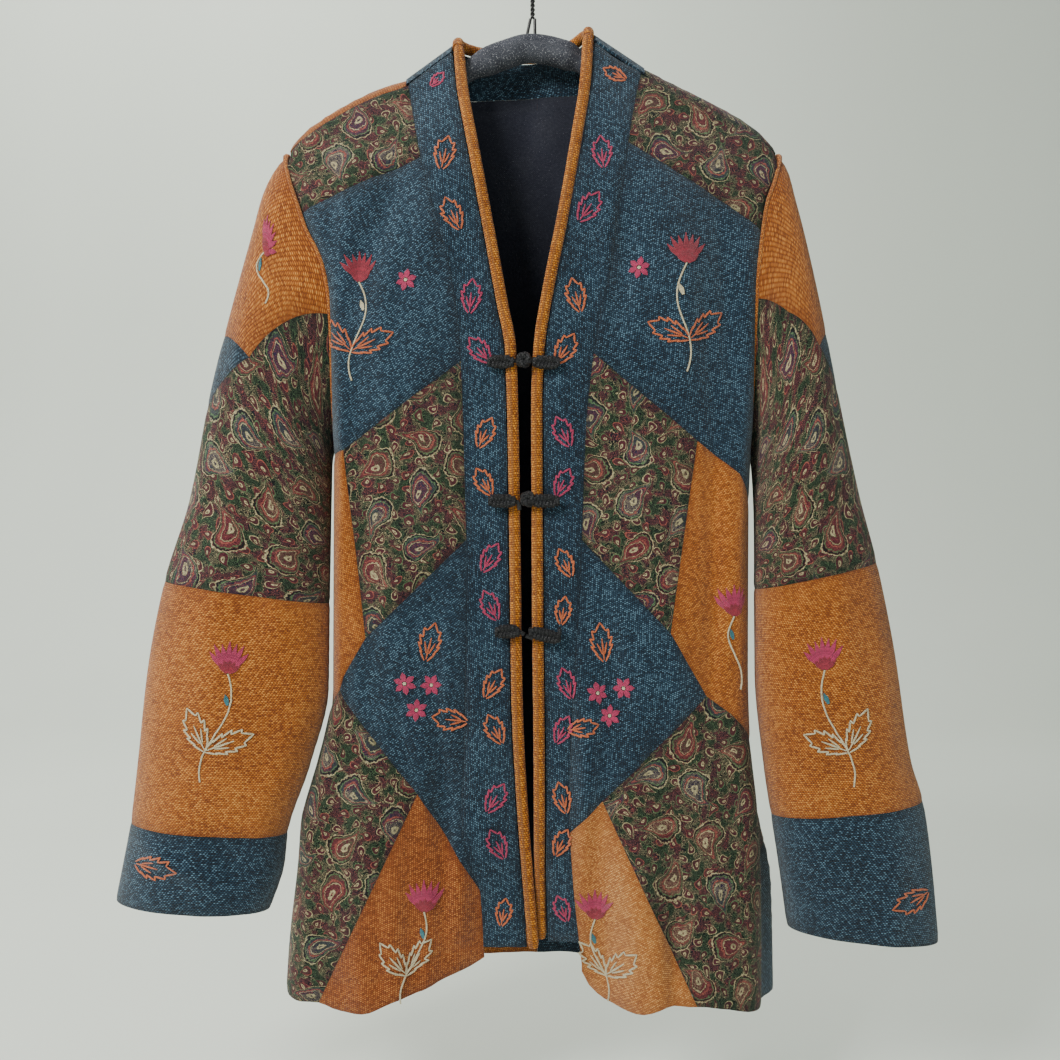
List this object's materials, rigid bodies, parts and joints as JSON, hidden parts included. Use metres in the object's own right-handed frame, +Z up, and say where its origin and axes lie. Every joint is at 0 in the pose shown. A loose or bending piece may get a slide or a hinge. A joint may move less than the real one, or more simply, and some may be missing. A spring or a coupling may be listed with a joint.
{
  "type": "patchwork coat on a padded hanger",
  "caption": "Open-front patchwork coat with corded closures, hanging on a padded wire hanger.",
  "frame": {"origin": "inner top of the hanger's hook, where a rail carries it", "axes": "+X to the viewer's right, +Y to the back of the coat, +Z up"},
  "size_m": [0.6648, 0.1138, 0.8845],
  "materials": {
    "blue_chenille": "ribbed chenille in light and dark blue threads, soft nap",
    "rust_chenille": "ribbed chenille in rust and ochre threads, soft nap",
    "paisley_tapestry": "woven tapestry, paisley on a near-black ground",
    "mustard_piping": "thick fuzzy chenille cord with brown flecks",
    "navy_lining": "plain dark lining",
    "black_cord": "braided cord, slight sheen",
    "grey_foam": "speckled foam sleeve",
    "black_wire": "black lacquered wire"
  },
  "bodies": {
    "root": {"front_l_shoulder": "paisley_tapestry", "front_l_chest": "blue_chenille", "front_l_waist": "paisley_tapestry", "front_l_gore": "rust_chenille", "front_l_diamond": "blue_chenille", "front_l_skirt": "paisley_tapestry", "front_l_hem": "rust_chenille", "back_l_shoulder": "rust_chenille", "back_l_upper": "blue_chenille", "back_l_waist": "paisley_tapestry", "back_l_hip": "blue_chenille", "back_l_hem": "rust_chenille", "sleeve_l_cap": "rust_chenille", "sleeve_l_gusset": "blue_chenille", "sleeve_l_upper": "paisley_tapestry", "sleeve_l_lower": "rust_chenille", "sleeve_l_cuff": "blue_chenille", "band_l": "blue_chenille", "piping_l_foot": "mustard_piping", "piping_l_middle": "mustard_piping", "piping_l_top": "mustard_piping", "hanger_leg_l": "black_wire", "frog_1_l": "black_cord", "frog_2_l": "black_cord", "frog_3_l": "black_cord", "front_r_shoulder": "paisley_tapestry", "front_r_chest": "blue_chenille", "front_r_waist": "paisley_tapestry", "front_r_gore": "rust_chenille", "front_r_diamond": "blue_chenille", "front_r_skirt": "paisley_tapestry", "front_r_hem": "rust_chenille", "back_r_shoulder": "paisley_tapestry", "back_r_upper": "rust_chenille", "back_r_waist": "blue_chenille", "back_r_hip": "paisley_tapestry", "back_r_hem": "blue_chenille", "sleeve_r_cap": "rust_chenille", "sleeve_r_gusset": "blue_chenille", "sleeve_r_upper": "paisley_tapestry", "sleeve_r_lower": "rust_chenille", "sleeve_r_cuff": "blue_chenille", "band_r": "blue_chenille", "piping_r_foot": "mustard_piping", "piping_r_middle": "mustard_piping", "piping_r_top": "mustard_piping", "hanger_leg_r": "black_wire", "frog_1_r": "black_cord", "frog_2_r": "black_cord", "frog_3_r": "black_cord", "neck_band": "blue_chenille", "piping_neck": "mustard_piping", "lining_back": "navy_lining", "hanger_foam": "grey_foam", "hanger_hook": "black_wire"}
  },
  "joints": []
}
